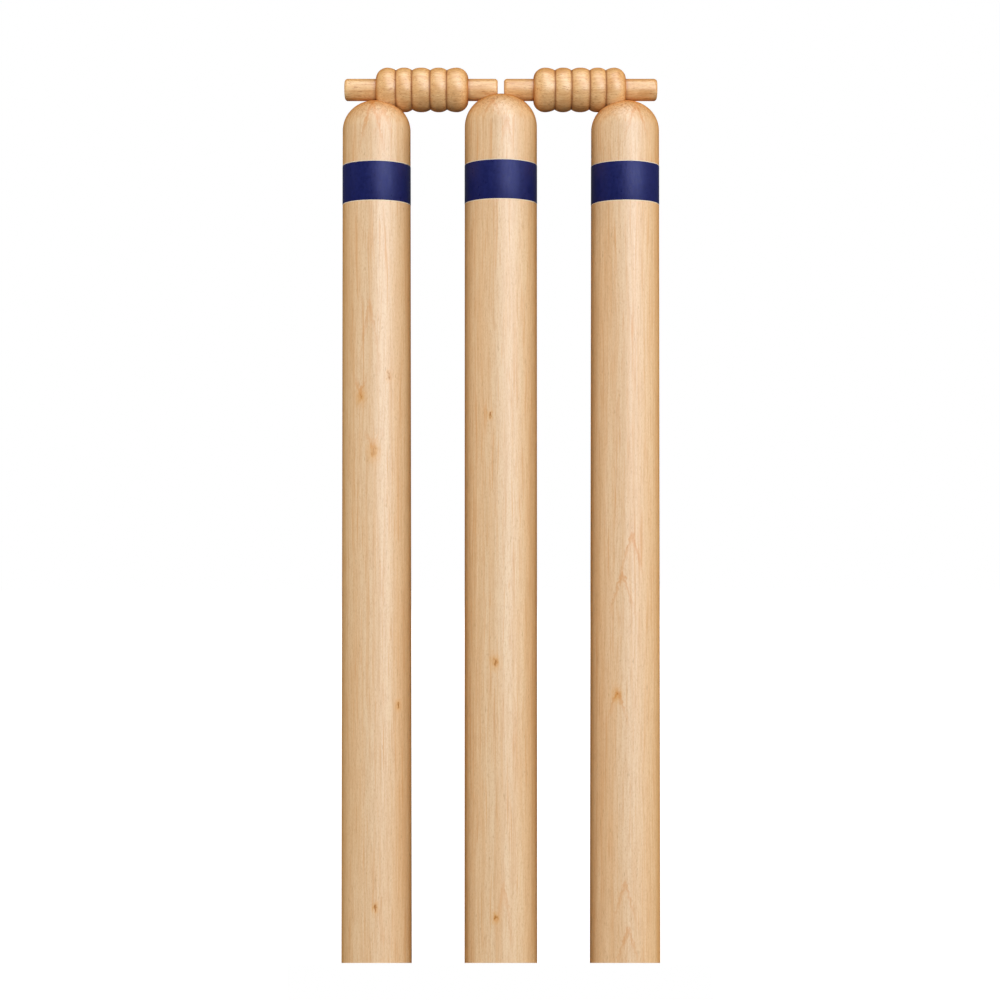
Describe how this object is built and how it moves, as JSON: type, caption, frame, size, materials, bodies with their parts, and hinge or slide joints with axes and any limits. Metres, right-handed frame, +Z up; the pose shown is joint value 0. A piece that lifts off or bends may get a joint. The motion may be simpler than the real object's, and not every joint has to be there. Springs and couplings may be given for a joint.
{
  "type": "cricket stumps",
  "caption": "Wicket of turned wooden stumps with pointed toes, domed grooved crowns and coloured bands, carrying loose beaded bails that lift off.",
  "frame": {"origin": "middle stump's axis at the ground line, 101.6 mm above the toe tips and 711.2 mm below the middle crown", "axes": "+Z up the stumps, +X from the left stump to the right stump, +Y away from the picture's viewer"},
  "size_m": [0.2286, 0.052, 0.8317],
  "materials": {
    "stump_wood": "satin lacquer over pale ash",
    "bail_wood": "satin oil over warm beech",
    "band_vinyl": "navy vinyl with a satin sheen"
  },
  "bodies": {
    "middle_stump": {"middle_stump": "stump_wood", "middle_band": "band_vinyl"},
    "left_stump": {"left_stump": "stump_wood", "left_band": "band_vinyl"},
    "right_stump": {"right_stump": "stump_wood", "right_band": "band_vinyl"},
    "left_bail": {"left_bail": "bail_wood"},
    "right_bail": {"right_bail": "bail_wood"}
  },
  "joints": [
    {"name": "left_stump_pull", "type": "slide", "parent": "middle_stump", "child": "left_stump", "axis": [0, 0, 1], "range_m": [0, 0.12]},
    {"name": "right_stump_pull", "type": "slide", "parent": "middle_stump", "child": "right_stump", "axis": [0, 0, 1], "range_m": [0, 0.12]},
    {"name": "left_bail_lift", "type": "slide", "parent": "left_stump", "child": "left_bail", "axis": [0, 0, 1], "range_m": [0, 0.06]},
    {"name": "right_bail_lift", "type": "slide", "parent": "right_stump", "child": "right_bail", "axis": [0, 0, 1], "range_m": [0, 0.06]}
  ]
}
